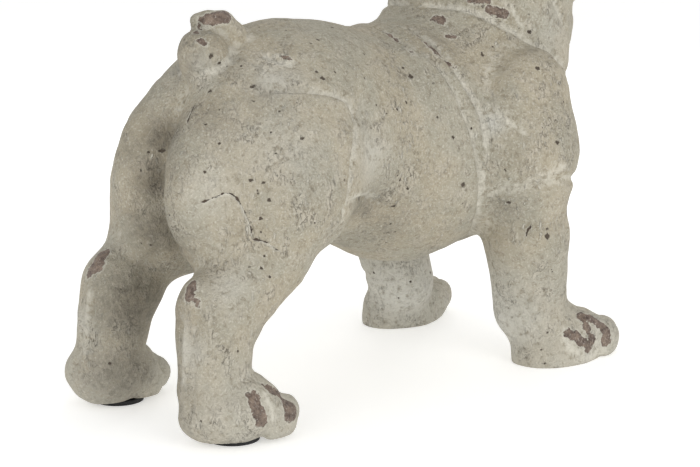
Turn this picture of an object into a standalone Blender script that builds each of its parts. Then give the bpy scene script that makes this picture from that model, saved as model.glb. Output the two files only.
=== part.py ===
"""A standing bulldog figure, cast in resin with a rough cement look, on two round pads under its hind paws.

The dog faces -Y, its left side is towards +X, and it stands on the plane Z = 0.
"""

import math

import bmesh
import bpy
import numpy as np
from mathutils import Euler, Matrix, Vector

# Driving sizes, in metres.
FIGURE_HEIGHT = 0.300
PAD_DIAMETER = 0.027
PAD_THICKNESS = 0.0022
PAD_GAP = 0.0003

# The figure's own forms are shares of its height. One unit is a 300th of it, which is 1 mm at the real size.
UNIT = FIGURE_HEIGHT / 300

# How finely the clay is worked, in units, and how many triangles the finished cast may have.
CLAY_GRAIN = 2.6
CAST_TRIANGLES = 9300

# Where the left paws and the left pad stand, as X and Y in units. The right ones mirror them.
HIND_PAW = (52, 120)
FORE_PAW = (67, -120)
PAD_PLACE = (48, 120)
SIDES = (1, -1)


def egg(centre, radii, turn=(0, 0, 0), blend=10):
    """An egg-shaped mass: its centre and half sizes in units, and its turn about X, Y and Z in degrees."""
    turned = Euler([math.radians(angle) for angle in turn]).to_matrix()
    return {
        "centre": np.array(centre, float) * UNIT,
        "radii": np.array(radii, float) * UNIT,
        "turn": np.array(turned),
        "blend": blend * UNIT,
    }


def limb(start, end, start_radius, end_radius, blend=10):
    """A tapered mass between two round ends, all in units."""
    return {
        "start": np.array(start, float) * UNIT,
        "end": np.array(end, float) * UNIT,
        "start_radius": start_radius * UNIT,
        "end_radius": end_radius * UNIT,
        "blend": blend * UNIT,
    }


def mirrored(mass):
    """The same mass on the other side of the plane X = 0."""
    flip = np.array((-1.0, 1.0, 1.0))
    other = dict(mass)
    if "centre" in mass:
        other["centre"] = mass["centre"] * flip
        other["turn"] = np.diag(flip) @ mass["turn"] @ np.diag(flip)
    else:
        other["start"] = mass["start"] * flip
        other["end"] = mass["end"] * flip
    return other


def both_sides(masses):
    return [side for mass in masses for side in (mass, mirrored(mass))]


def trunk():
    """Rump, loin, ribcage, chest, withers and neck, along the middle."""
    return [
        egg((0, 64, 154), (54, 48, 43), blend=20),
        egg((0, 24, 144), (58, 73, 59), blend=30),
        egg((0, -43, 125), (66, 66, 63), blend=25),
        egg((0, -102, 127), (58, 54, 60), blend=22),
        egg((0, -62, 164), (50, 54, 34), blend=25),
        limb((0, -111, 169), (0, -125, 229), 58, 52, blend=18),
    ]


def shoulder():
    return [
        egg((62, -89, 141), (21, 32, 42), turn=(10, 0, 0), blend=12),
    ]


def hind_leg():
    """Buttock, thigh, knee, hock, pastern and paw."""
    x, y = HIND_PAW
    return [
        egg((22, 90, 121), (27, 46, 51), turn=(-8, 0, 0), blend=16),
        egg((40, 70, 130), (31, 44, 43), turn=(-18, 0, 0), blend=12),
        egg((47, 86, 115), (26, 30, 26), turn=(-20, 0, 0), blend=14),
        limb((44, 95, 91), (41, 115, 68), 24, 19, blend=12),
        limb((40, 123, 64), (44, 129, 29), 21, 18, blend=8),
        egg((x - 2, y + 2, 17.5), (24, 26.5, 17.5), turn=(0, 0, 4), blend=6),
        egg((x - 8, y + 12, 12), (15, 14, 11), blend=6),
    ]


def fore_leg():
    """Upper arm, forearm and paw."""
    x, y = FORE_PAW
    return [
        limb((60, -89, 122), (61, -96, 75), 31, 19, blend=16),
        limb((59, -96, 74), (53, -107, 30), 24, 21, blend=10),
        egg((x - 3, y + 1, 4), (22, 30, 29), turn=(0, 0, 4), blend=8),
    ]


def toes(paw, step, reach, lean, knuckle):
    """Four toes side by side at the front of a paw, the outer ones set back. The knuckle is a height in units."""
    x, y = paw
    masses = []
    for place in (-1.5, -0.5, 0.5, 1.5):
        tip = y - reach + 5 * (place * place - 0.25) - lean * place
        masses += [
            limb((x + 0.62 * step * place, tip + 17, knuckle), (x + step * place, tip + 1, 14), 8.5, 6.5, blend=3),
            egg((x + step * place, tip, 10), (6.8, 12.5, 11), turn=(0, 0, -5 * place), blend=2.5),
        ]
    return masses


def tail():
    """A short screw tail: a thick root that ends in a ball, and from behind it a roll up and over to the tip."""
    roll = [(-4, 92, 187), (-5.5, 82, 188), (-5.5, 82, 198), (-4, 87, 205.5), (-1, 92.5, 207), (2.5, 96, 206.5)]
    radii = [11, 9.3, 8.8, 7.4, 6.4, 5.4]
    masses = [limb((0, 94, 172), (-4, 97.5, 190.5), 12, 14.3, blend=4)]
    for i in range(len(roll) - 1):
        masses.append(limb(roll[i], roll[i + 1], radii[i], radii[i + 1], blend=1.5))
    return masses


def face():
    """Skull, snout, muzzle, nose and chin, along the middle."""
    return [
        egg((0, -118, 262), (50, 42, 37), blend=12),
        egg((0, -150, 252), (40, 30, 30), blend=10),
        egg((0, -172, 240), (32, 20, 22), blend=8),
        egg((0, -194, 252), (13.5, 9, 8.5), turn=(-20, 0, 0), blend=2.5),
        egg((0, -186, 214), (22, 17, 11), blend=4),
    ]


def face_sides():
    """Brow, cheek, eye, nose fold, flews, dewlap and ear."""
    return [
        egg((24, -152, 282), (19, 15, 10), turn=(10, 8, 8), blend=9),
        egg((40, -134, 243), (23, 29, 30), blend=10),
        egg((27, -168, 267), (8.5, 8.5, 8.5), blend=1.5),
        limb((0, -180, 268), (14, -182, 261), 6, 5.5, blend=4),
        limb((14, -182, 261), (28, -175, 246), 5.5, 7, blend=4),
        limb((28, -176, 246), (37, -164, 230), 7, 6, blend=3),
        egg((19, -187, 233), (17, 15, 16), blend=2.5),
        egg((32, -172, 226), (15, 19, 18), blend=4),
        egg((17, -160, 192), (14, 20, 28), turn=(12, 0, 0), blend=8),
        limb((38, -116, 285), (47, -112, 290), 9, 8, blend=5),
        egg((51, -108, 283), (13, 12, 5.5), turn=(-35, 42, 20), blend=3),
    ]


def all_masses():
    """Every mass of the figure, in the order in which they are blended."""
    legs = hind_leg() + toes(HIND_PAW, 9.6, 23.5, 1.2, 25) + fore_leg() + toes(FORE_PAW, 9.6, 31, 2, 20)
    return trunk() + both_sides(shoulder() + legs) + face() + both_sides(face_sides()) + tail()


def distance_to(points, mass):
    """Signed distance from the points to one mass: exact for a limb, close for an egg."""
    if "centre" in mass:
        local = (points - mass["centre"]) @ mass["turn"]
        near = np.linalg.norm(local / mass["radii"], axis=1)
        slope = np.linalg.norm(local / mass["radii"] ** 2, axis=1)
        return near * (near - 1) / np.maximum(slope, 1e-9)
    axis = mass["end"] - mass["start"]
    along = np.clip((points - mass["start"]) @ axis / (axis @ axis), 0, 1)
    centre = mass["start"] + along[:, None] * axis
    radius = mass["start_radius"] + along * (mass["end_radius"] - mass["start_radius"])
    return np.linalg.norm(points - centre, axis=1) - radius


def clay_distance(points, masses):
    """Signed distance to all masses together, with a round fillet wherever two of them meet."""
    total = distance_to(points, masses[0])
    for mass in masses[1:]:
        other = distance_to(points, mass)
        share = np.clip(0.5 + 0.5 * (total - other) / mass["blend"], 0, 1)
        total = total + share * (other - total) - mass["blend"] * share * (1 - share)
    return total


def clay_slope(points, masses):
    """The direction in which the distance grows, by small steps each way along X, Y and Z."""
    step = 0.2 * UNIT
    slope = np.empty_like(points)
    for axis in range(3):
        move = np.zeros(3)
        move[axis] = step
        ahead = clay_distance(points + move, masses)
        behind = clay_distance(points - move, masses)
        slope[:, axis] = (ahead - behind) / (2 * step)
    return slope


def rough_body(masses):
    """The masses as closed balls in one mesh, with a row of balls for a limb, not joined yet."""
    clay = bmesh.new()
    for mass in masses:
        if "centre" in mass:
            place = Matrix.LocRotScale(Vector(mass["centre"]), Matrix(mass["turn"].tolist()), Vector(mass["radii"]))
            bmesh.ops.create_icosphere(clay, subdivisions=3, radius=1, matrix=place)
            continue
        for share in np.linspace(0, 1, 6):
            centre = mass["start"] + share * (mass["end"] - mass["start"])
            radius = mass["start_radius"] + share * (mass["end_radius"] - mass["start_radius"])
            place = Matrix.Translation(Vector(centre))
            bmesh.ops.create_icosphere(clay, subdivisions=3, radius=float(radius), matrix=place)
    mesh = bpy.data.meshes.new("clay")
    clay.to_mesh(mesh)
    clay.free()
    return mesh


def applied(obj):
    """The object's mesh with its modifiers worked in."""
    graph = bpy.context.evaluated_depsgraph_get()
    mesh = bpy.data.meshes.new_from_object(obj.evaluated_get(graph))
    obj.modifiers.clear()
    obj.data = mesh
    return mesh


def remeshed(obj, grain):
    """Joins what overlaps in the object into one skin of even squares."""
    skin = obj.modifiers.new("skin", "REMESH")
    skin.mode = "VOXEL"
    skin.voxel_size = grain
    return applied(obj)


def points_of(mesh):
    points = np.empty(len(mesh.vertices) * 3)
    mesh.vertices.foreach_get("co", points)
    return points.reshape(-1, 3)


def put_points(mesh, points):
    mesh.vertices.foreach_set("co", points.ravel())
    mesh.update()


def neighbour_mean(points, edges):
    """The mean place of each point's neighbours."""
    total = np.zeros_like(points)
    count = np.bincount(edges.ravel(), minlength=len(points))
    for axis in range(3):
        total[:, axis] += np.bincount(edges[:, 0], points[edges[:, 1], axis], len(points))
        total[:, axis] += np.bincount(edges[:, 1], points[edges[:, 0], axis], len(points))
    return total / count[:, None]


def settle(mesh, masses, rounds):
    """Moves each point onto the blended surface of the masses, easing it towards its neighbours on the way."""
    edges = np.empty(len(mesh.edges) * 2, np.int32)
    mesh.edges.foreach_get("vertices", edges)
    edges = edges.reshape(-1, 2)
    points = points_of(mesh)
    for _ in range(rounds):
        slope = clay_slope(points, masses)
        length = np.maximum(np.linalg.norm(slope, axis=1), 0.3)
        normal = slope / length[:, None]
        points = points - normal * (clay_distance(points, masses) / length)[:, None]
        eased = neighbour_mean(points, edges) - points
        eased -= normal * (eased * normal).sum(axis=1)[:, None]
        points = points + 0.5 * eased
    put_points(mesh, points)


def creases():
    """The folds of the skin: a route over it in units, how deep the fold is and how wide.

    Each lies on the dog's left side and is carved on both sides.
    """
    return [
        ([(0, -62, 208), (26, -71, 206), (42, -82, 198), (51, -96, 188), (55, -111, 181), (52, -130, 172),
          (47, -146, 166)], 3.0, 3.4),
        ([(47, -146, 166), (28, -166, 152), (0, -172, 148)], 2.2, 4.0),
        ([(0, -30, 199), (16, -32, 197), (39, -33, 184), (54, -38, 166), (63, -44, 135), (64, -48, 119),
          (58, -57, 101), (46, -66, 86), (30, -77, 74)], 2.6, 3.4),
        ([(2, -46, 202), (31, -37, 193), (47, -40, 179), (54, -46, 167), (61, -51, 150), (66, -52, 132)], 2.0, 3.0),
        ([(62, -53, 152), (71, -61, 149), (77, -66, 143), (81, -69, 137)], 1.8, 3.6),
        ([(60, -56, 104), (68, -61, 108), (78, -67, 111), (86, -78, 112), (91, -92, 113), (86, -106, 112)], 2.2, 3.4),
        ([(52, 46, 176), (58, 45, 168), (63, 48, 155), (66, 51, 142), (68, 55, 128), (67, 60, 113), (62, 62, 99)],
         2.2, 3.4),
        ([(73, 72, 114), (68, 57, 118), (61, 41, 116), (49, 17, 109)], 1.6, 3.6),
        ([(0, 106, 172), (0, 120, 150), (0, 125, 132), (0, 124, 112), (0, 108, 84)], 4.0, 4.4),
        ([(0, -204, 247), (0, -203, 240), (0, -202, 231)], 2.6, 2.6),
        ([(0, -202, 230), (12, -203, 226), (23, -198, 217), (34, -186, 209), (42, -170, 210)], 3.0, 2.8),
        ([(0, -168, 262), (0, -166, 280), (0, -148, 294), (0, -118, 300)], 2.6, 4.0),
        ([(9, -182, 272), (17, -180, 266), (30, -171, 254), (42, -160, 236), (46, -150, 216)], 2.4, 2.8),
        ([(34, -160, 294), (43, -158, 280), (46, -156, 266), (52, -142, 250)], 1.8, 3.2),
        ([(42, -160, 258), (50, -146, 240), (53, -132, 218), (50, -124, 200)], 1.6, 3.4),
    ]


def distance_to_route(points, route):
    """Distance from the points to a line of straight runs."""
    nearest = np.full(len(points), np.inf)
    for start, end in zip(route[:-1], route[1:]):
        run = end - start
        along = np.clip((points - start) @ run / (run @ run), 0, 1)
        nearest = np.minimum(nearest, np.linalg.norm(points - start - along[:, None] * run, axis=1))
    return nearest


def carve(mesh):
    """Presses each crease into the skin along its normal."""
    normals = np.empty(len(mesh.vertices) * 3)
    mesh.vertices.foreach_get("normal", normals)
    points = points_of(mesh)
    depth = np.zeros(len(points))
    for route, deep, wide in creases():
        for side in SIDES:
            places = np.array(route, float) * (side, 1, 1) * UNIT
            nearness = np.exp(-((distance_to_route(points, places) / (wide * UNIT)) ** 2))
            depth = np.maximum(depth, deep * UNIT * nearness)
    put_points(mesh, points - normals.reshape(-1, 3) * depth[:, None])


def thinned(obj, triangles):
    """Fewer triangles, which stay small where the skin bends and grow where it is flat."""
    thin = obj.modifiers.new("thin", "DECIMATE")
    thin.ratio = triangles / (2 * len(obj.data.polygons))
    thin.use_collapse_triangulate = True
    return applied(obj)


def sole_cutter(collection, name, centre_y, top):
    """A block whose top cuts the paws above it off flat."""
    size = FIGURE_HEIGHT
    block = bmesh.new()
    bmesh.ops.create_cube(block, size=size)
    mesh = bpy.data.meshes.new(name)
    block.to_mesh(mesh)
    block.free()
    cutter = bpy.data.objects.new(name, mesh)
    cutter.location = (0, centre_y, top - size / 2)
    cutter.hide_render = True
    cutter.display_type = "WIRE"
    collection.objects.link(cutter)
    return cutter


def cut_soles(figure, cutters):
    """Cuts the soles flat: the fore paws to stand on the ground, the hind ones to stand on the pads."""
    half = FIGURE_HEIGHT / 2
    levels = {"fore_sole_cutter": (-half, 0), "hind_sole_cutter": (half, PAD_THICKNESS + PAD_GAP)}
    for name, (centre_y, top) in levels.items():
        cutter = sole_cutter(cutters, name, centre_y, top)
        cut = figure.modifiers.new(name, "BOOLEAN")
        cut.operation = "DIFFERENCE"
        cut.solver = "EXACT"
        cut.object = cutter


def cement_resin():
    """Cast resin with a rough beige-grey cement skin."""
    material = bpy.data.materials.new("cement_resin")
    material.use_nodes = True
    shader = material.node_tree.nodes["Principled BSDF"]
    shader.inputs["Base Color"].default_value = (0.42, 0.38, 0.30, 1)
    shader.inputs["Roughness"].default_value = 0.9
    shader.inputs["Metallic"].default_value = 0
    return material


def black_foam():
    """Black foam rubber."""
    material = bpy.data.materials.new("black_foam_rubber")
    material.use_nodes = True
    shader = material.node_tree.nodes["Principled BSDF"]
    shader.inputs["Base Color"].default_value = (0.012, 0.012, 0.012, 1)
    shader.inputs["Roughness"].default_value = 0.85
    shader.inputs["Metallic"].default_value = 0
    return material


def cast_figure(collection, cutters):
    masses = all_masses()
    figure = bpy.data.objects.new("bulldog_figure", rough_body(masses))
    collection.objects.link(figure)
    for rounds in (4, 5):
        mesh = remeshed(figure, CLAY_GRAIN * UNIT)
        settle(mesh, masses, rounds)
    carve(mesh)
    mesh = thinned(figure, CAST_TRIANGLES)
    points = points_of(mesh)
    points *= FIGURE_HEIGHT / points[:, 2].max()
    put_points(mesh, points)
    cut_soles(figure, cutters)
    mesh = applied(figure)
    mesh.shade_smooth()
    mesh.materials.append(cement_resin())
    return figure


def foot_pads(collection):
    """A round pad under each hind paw, with the gap above it that touching pieces keep."""
    material = black_foam()
    pads = []
    for name, side in (("foot_pad_right", -1), ("foot_pad_left", 1)):
        disc = bmesh.new()
        bmesh.ops.create_cone(
            disc,
            cap_ends=True,
            segments=48,
            radius1=PAD_DIAMETER / 2,
            radius2=PAD_DIAMETER / 2,
            depth=PAD_THICKNESS,
        )
        mesh = bpy.data.meshes.new(name)
        disc.to_mesh(mesh)
        disc.free()
        mesh.materials.append(material)
        pad = bpy.data.objects.new(name, mesh)
        pad.location = (side * PAD_PLACE[0] * UNIT, PAD_PLACE[1] * UNIT, PAD_THICKNESS / 2)
        collection.objects.link(pad)
        pads.append(pad)
    return pads


def centre_on_origin(figure, pads):
    """Moves everything along Y, so that the middle of the figure's length is over the origin."""
    points = points_of(figure.data)
    shift = -(points[:, 1].min() + points[:, 1].max()) / 2
    points[:, 1] += shift
    put_points(figure.data, points)
    for pad in pads:
        pad.location.y += shift


def main():
    for obj in list(bpy.data.objects):
        bpy.data.objects.remove(obj)
    collection = bpy.data.collections.new("bulldog_statue")
    cutters = bpy.data.collections.new("cutters")
    for group in (collection, cutters):
        bpy.context.scene.collection.children.link(group)
    figure = cast_figure(collection, cutters)
    pads = foot_pads(collection)
    centre_on_origin(figure, pads)


main()
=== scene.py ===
"""The looks of a resin bulldog figure with a worn cement coat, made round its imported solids.

The figure's skin is worked again at a finer grain than the solid's, from the same masses, and then carved.
"""

import math
import bmesh
import bpy
import numpy as np
from mathutils import Euler, Matrix, Vector


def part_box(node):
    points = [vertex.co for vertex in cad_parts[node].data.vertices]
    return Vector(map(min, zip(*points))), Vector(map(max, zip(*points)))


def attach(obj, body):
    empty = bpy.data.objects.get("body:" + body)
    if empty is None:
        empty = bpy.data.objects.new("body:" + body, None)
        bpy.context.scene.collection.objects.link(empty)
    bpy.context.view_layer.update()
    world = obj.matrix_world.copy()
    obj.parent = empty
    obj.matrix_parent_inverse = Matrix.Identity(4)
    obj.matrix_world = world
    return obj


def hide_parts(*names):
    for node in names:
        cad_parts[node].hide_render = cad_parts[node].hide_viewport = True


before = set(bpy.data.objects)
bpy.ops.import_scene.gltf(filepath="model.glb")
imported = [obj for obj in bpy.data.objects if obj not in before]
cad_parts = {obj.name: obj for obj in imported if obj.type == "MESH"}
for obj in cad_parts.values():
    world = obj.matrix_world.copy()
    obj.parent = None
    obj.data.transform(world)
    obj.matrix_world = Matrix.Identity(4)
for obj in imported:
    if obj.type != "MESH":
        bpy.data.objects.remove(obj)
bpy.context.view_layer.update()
FIGURE_LOW, FIGURE_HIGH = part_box("bulldog_figure")

# One unit is a 300th of the figure's height, which is 1 mm at its real size. Clay places are in units.
FIGURE_HEIGHT = FIGURE_HIGH.z
UNIT = FIGURE_HEIGHT / 300
COARSE_GRAIN = 4.0
FINE_GRAIN = 2.0
GLUE_GAP = 0.3

# The coat's own lumps, as height and width in units, and how far a fold or patch can reach from its route.
COAT_LUMPS = ((0.8, 19), (0.5, 9), (0.2, 4.8))
ROUTE_REACH = 45
OUT_OF_REACH = 1000.0

# Where the left paws stand, as X and Y in units. The right ones mirror them.
HIND_PAW = (52, 120)
FORE_PAW = (67, -120)
TOE_STEP = 9.6
SIDES = (1, -1)

# The fold round the neck, which is carved and also washed pale.
NECK_RING = [
    (0, -61, 208), (16, -65, 208), (27, -70, 207), (37, -76, 204), (45, -84, 198), (52, -94, 192),
    (58, -104, 185), (57, -120, 178), (48, -140, 169),
]

# The photograph's view: degrees round the dog and upwards, the place it looks at, and how far off it stands.
VIEW_TURN = 225.64
VIEW_RISE = 11.5
VIEW_AIM = (-10.1, 27.1, 83.9)
VIEW_DISTANCE = 1000
LENS_MM = 91.5
SENSOR_MM = 36

# The studio: the softboxes' side and the place they are turned to in units, and half the floor in metres.
SOFTBOX_SIZE = 1000
LIT_PLACE = (0, 0, 120)
FLOOR_REACH = 12

# Colours that several layers of the coat share.
PALE_WASH = "#d2cec1"
# The dark colour is painted shade in scratches and creases, together with soiling.
SHADE_AND_GRIME = "#5e574a"


def egg(centre, radii, turn=(0, 0, 0), blend=10):
    """An egg-shaped mass: its centre and half sizes in units, and its turn about X, Y and Z in degrees."""
    turned = Euler([math.radians(angle) for angle in turn]).to_matrix()
    return {
        "centre": np.array(centre, float) * UNIT,
        "radii": np.array(radii, float) * UNIT,
        "turn": np.array(turned),
        "blend": blend * UNIT,
    }


def limb(start, end, start_radius, end_radius, blend=10):
    """A tapered mass between two round ends, all in units."""
    return {
        "start": np.array(start, float) * UNIT,
        "end": np.array(end, float) * UNIT,
        "start_radius": start_radius * UNIT,
        "end_radius": end_radius * UNIT,
        "blend": blend * UNIT,
    }


def mirrored(mass):
    """The same mass on the other side of the plane X = 0."""
    flip = np.array((-1.0, 1.0, 1.0))
    other = dict(mass)
    if "centre" in mass:
        other["centre"] = mass["centre"] * flip
        other["turn"] = np.diag(flip) @ mass["turn"] @ np.diag(flip)
    else:
        other["start"] = mass["start"] * flip
        other["end"] = mass["end"] * flip
    return other


def both_sides(masses):
    return [side for mass in masses for side in (mass, mirrored(mass))]


def trunk():
    """Rump, loin, ribcage, chest, withers and neck, along the middle."""
    return [
        egg((0, 64, 154), (54, 48, 43), blend=20),
        egg((0, 24, 144), (58, 73, 59), blend=30),
        egg((0, -43, 125), (66, 66, 63), blend=25),
        egg((0, -102, 127), (58, 54, 60), blend=22),
        egg((0, -62, 164), (50, 54, 34), blend=25),
        limb((0, -111, 169), (0, -125, 229), 58, 52, blend=18),
    ]


def shoulder():
    return [
        egg((62, -89, 141), (21, 32, 42), turn=(10, 0, 0), blend=12),
    ]


def hind_leg():
    """Buttock, thigh, knee, hock, pastern and paw."""
    x, y = HIND_PAW
    return [
        egg((22, 90, 121), (27, 46, 51), turn=(-8, 0, 0), blend=16),
        egg((40, 70, 130), (31, 44, 43), turn=(-18, 0, 0), blend=12),
        egg((47, 86, 115), (26, 30, 26), turn=(-20, 0, 0), blend=14),
        limb((44, 95, 91), (41, 115, 68), 24, 19, blend=12),
        limb((40, 123, 64), (44, 129, 29), 21, 18, blend=8),
        egg((x - 2, y + 2, 17.5), (24, 26.5, 17.5), turn=(0, 0, 4), blend=6),
        egg((x - 8, y + 12, 12), (15, 14, 11), blend=6),
    ]


def fore_leg():
    """Upper arm, forearm and paw."""
    x, y = FORE_PAW
    return [
        limb((60, -89, 122), (61, -96, 75), 31, 19, blend=16),
        limb((59, -96, 74), (53, -107, 30), 24, 21, blend=10),
        egg((x - 3, y + 1, 4), (22, 30, 29), turn=(0, 0, 4), blend=8),
    ]


def toes(paw, reach, lean, knuckle):
    """Four toes side by side at the front of a paw, the outer ones set back. The knuckle is its height."""
    x, y = paw
    masses = []
    for place in (-1.5, -0.5, 0.5, 1.5):
        knuckle_x = x + 0.62 * TOE_STEP * place
        tip_x = x + TOE_STEP * place
        tip = y - reach + 5 * (place * place - 0.25) - lean * place
        masses += [
            limb((knuckle_x, tip + 17, knuckle), (tip_x, tip + 1, 14), 8.5, 6.5, blend=3),
            egg((tip_x, tip, 10), (6.8, 12.5, 11), turn=(0, 0, -5 * place), blend=2.5),
        ]
    return masses


def tail():
    """A short screw tail: a thick root that ends in a ball, and a roll from behind it up and over."""
    roll = [
        (-4, 92, 187), (-5.5, 82, 188), (-5.5, 82, 198), (-4, 87, 205.5), (-1, 92.5, 207), (2.5, 96, 206.5),
    ]
    radii = [11, 9.3, 8.8, 7.4, 6.4, 5.4]
    masses = [limb((0, 94, 172), (-4, 97.5, 190.5), 12, 14.3, blend=4)]
    for i in range(len(roll) - 1):
        masses.append(limb(roll[i], roll[i + 1], radii[i], radii[i + 1], blend=1.5))
    return masses


def face():
    """Skull, snout, muzzle, nose and chin, along the middle."""
    return [
        egg((0, -118, 262), (50, 42, 37), blend=12),
        egg((0, -150, 252), (40, 30, 30), blend=10),
        egg((0, -172, 240), (32, 20, 22), blend=8),
        egg((0, -194, 252), (13.5, 9, 8.5), turn=(-20, 0, 0), blend=2.5),
        egg((0, -186, 214), (22, 17, 11), blend=4),
    ]


def face_sides():
    """Brow, cheek, eye, nose fold, flews, dewlap and ear."""
    return [
        egg((24, -152, 282), (19, 15, 10), turn=(10, 8, 8), blend=9),
        egg((40, -134, 243), (23, 29, 30), blend=10),
        egg((27, -168, 267), (8.5, 8.5, 8.5), blend=1.5),
        limb((0, -180, 268), (14, -182, 261), 6, 5.5, blend=4),
        limb((14, -182, 261), (28, -175, 246), 5.5, 7, blend=4),
        limb((28, -176, 246), (37, -164, 230), 7, 6, blend=3),
        egg((19, -187, 233), (17, 15, 16), blend=2.5),
        egg((32, -172, 226), (15, 19, 18), blend=4),
        egg((17, -160, 192), (14, 20, 28), turn=(12, 0, 0), blend=8),
        limb((38, -116, 285), (47, -112, 290), 9, 8, blend=5),
        egg((51, -108, 283), (13, 12, 5.5), turn=(-35, 42, 20), blend=3),
    ]


def all_masses():
    """Every mass of the figure, in the order in which they are blended."""
    legs = hind_leg() + toes(HIND_PAW, 23.5, 1.2, 25) + fore_leg() + toes(FORE_PAW, 31, 2, 20)
    return trunk() + both_sides(shoulder() + legs) + face() + both_sides(face_sides()) + tail()


def distance_to(points, mass):
    """Signed distance from the points to one mass: exact for a limb of even thickness, close for the rest.

    Let k be how many half sizes a point lies from an egg's centre. Its distance is k times (k less 1), over
    the slope of half of k squared. For a limb it is the distance to the axis, less the radius there.
    """
    if "centre" in mass:
        local = (points - mass["centre"]) @ mass["turn"]
        near = np.linalg.norm(local / mass["radii"], axis=1)
        slope = np.linalg.norm(local / mass["radii"] ** 2, axis=1)
        return near * (near - 1) / np.maximum(slope, 1e-9)
    axis = mass["end"] - mass["start"]
    along = np.clip((points - mass["start"]) @ axis / (axis @ axis), 0, 1)
    centre = mass["start"] + along[:, None] * axis
    radius = mass["start_radius"] + along * (mass["end_radius"] - mass["start_radius"])
    return np.linalg.norm(points - centre, axis=1) - radius


def clay_distance(points, masses):
    """Signed distance to all masses together, with a round fillet wherever two of them meet.

    The smaller distance counts. Where the two differ by less than the blend, they are mixed by their share of
    it, less the blend times that share times the rest, which is a quarter of the blend at most.
    """
    total = distance_to(points, masses[0])
    for mass in masses[1:]:
        other = distance_to(points, mass)
        share = np.clip(0.5 + 0.5 * (total - other) / mass["blend"], 0, 1)
        total = total + share * (other - total) - mass["blend"] * share * (1 - share)
    return total


def rough_body(masses):
    """The masses as closed balls in one mesh, with a row of balls for a limb, not joined yet."""
    clay = bmesh.new()
    for mass in masses:
        if "centre" in mass:
            turn = Matrix(mass["turn"].tolist())
            place = Matrix.LocRotScale(Vector(mass["centre"]), turn, Vector(mass["radii"]))
            bmesh.ops.create_icosphere(clay, subdivisions=3, radius=1, matrix=place)
            continue
        for share in np.linspace(0, 1, 6):
            centre = mass["start"] + share * (mass["end"] - mass["start"])
            radius = mass["start_radius"] + share * (mass["end_radius"] - mass["start_radius"])
            place = Matrix.Translation(Vector(centre))
            bmesh.ops.create_icosphere(clay, subdivisions=3, radius=float(radius), matrix=place)
    mesh = bpy.data.meshes.new("clay")
    clay.to_mesh(mesh)
    clay.free()
    return mesh


def remeshed(obj, grain):
    """Joins what overlaps in the object into one skin of even squares."""
    skin = obj.modifiers.new("skin", "REMESH")
    skin.mode = "VOXEL"
    skin.voxel_size = grain * UNIT
    graph = bpy.context.evaluated_depsgraph_get()
    mesh = bpy.data.meshes.new_from_object(obj.evaluated_get(graph))
    obj.modifiers.clear()
    obj.data = mesh
    return mesh


def points_of(mesh):
    points = np.empty(len(mesh.vertices) * 3)
    mesh.vertices.foreach_get("co", points)
    return points.reshape(-1, 3)


def put_points(mesh, points):
    mesh.vertices.foreach_set("co", points.ravel())
    mesh.update()


def normals_of(mesh):
    normals = np.empty(len(mesh.vertices) * 3)
    mesh.vertices.foreach_get("normal", normals)
    return normals.reshape(-1, 3)


def edges_of(mesh):
    edges = np.empty(len(mesh.edges) * 2, np.int32)
    mesh.edges.foreach_get("vertices", edges)
    return edges.reshape(-1, 2)


def neighbour_mean(values, edges):
    """The mean of each point's neighbours' values, for values with one column or several."""
    table = values.reshape(len(values), -1)
    total = np.zeros_like(table)
    count = np.bincount(edges.ravel(), minlength=len(table))
    for column in range(table.shape[1]):
        total[:, column] += np.bincount(edges[:, 0], table[edges[:, 1], column], len(table))
        total[:, column] += np.bincount(edges[:, 1], table[edges[:, 0], column], len(table))
    return (total / count[:, None]).reshape(values.shape)


def onto_surface(points, masses):
    """Each point after one step towards the blended surface, and the direction of the slope there.

    The slope of the distance is found from one small step along each axis.
    """
    step = 0.2 * UNIT
    here = clay_distance(points, masses)
    slope = np.stack([(clay_distance(points + move, masses) - here) / step for move in np.eye(3) * step], 1)
    length = np.maximum(np.linalg.norm(slope, axis=1), 0.3)
    normal = slope / length[:, None]
    return points - normal * (here / length)[:, None], normal


def settle(mesh, masses, rounds):
    """Moves each point onto the blended surface, easing it halfway to its neighbours' mean along the skin."""
    edges = edges_of(mesh)
    points = points_of(mesh)
    for _ in range(rounds):
        points, normal = onto_surface(points, masses)
        eased = neighbour_mean(points, edges) - points
        eased -= normal * (eased * normal).sum(axis=1)[:, None]
        points = points + 0.5 * eased
    put_points(mesh, points)


def lattice_value(cell, seed):
    """A random number from -1 to 1 for each whole-numbered place, the same on every run.

    The place's numbers are multiplied by large primes and their digits mixed.
    """
    mixed = cell[:, 0] * 73856093 ^ cell[:, 1] * 19349663 ^ cell[:, 2] * 83492791 ^ seed * 2654435761
    mixed = (mixed ^ (mixed >> 13)) * 1274126177 & 0xFFFFFFFF
    return ((mixed ^ (mixed >> 16)) & 0xFFFF) / 32767.5 - 1


def lumps(points, size, seed):
    """Smooth random heights from -1 to 1 over space, with bumps about as far apart as the size in units.

    A random number stands at each corner of a cubic lattice, and in between they are eased into each other.
    """
    place = points / (size * UNIT)
    cell = np.floor(place).astype(np.int64)
    share = place - cell
    share = share * share * (3 - 2 * share)
    total = np.zeros(len(points))
    for corner in np.ndindex(2, 2, 2):
        weight = np.prod(np.where(corner, share, 1 - share), axis=1)
        total += weight * lattice_value(cell + np.array(corner), seed)
    return total


def on_skin(route, hand, masses):
    """A route of the left side in units, carried to the hand's side, eased and laid on the skin."""
    corners = np.array(route, float) * (hand, 1, 1) * UNIT
    steps = np.linspace(0, len(corners) - 1, 3 * len(corners) - 2)
    places = np.stack([np.interp(steps, np.arange(len(corners)), column) for column in corners.T], 1)
    places[1:-1] = (places[:-2] + 2 * places[1:-1] + places[2:]) / 4
    for _ in range(4):
        places = onto_surface(places, masses)[0]
    return places


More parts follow.
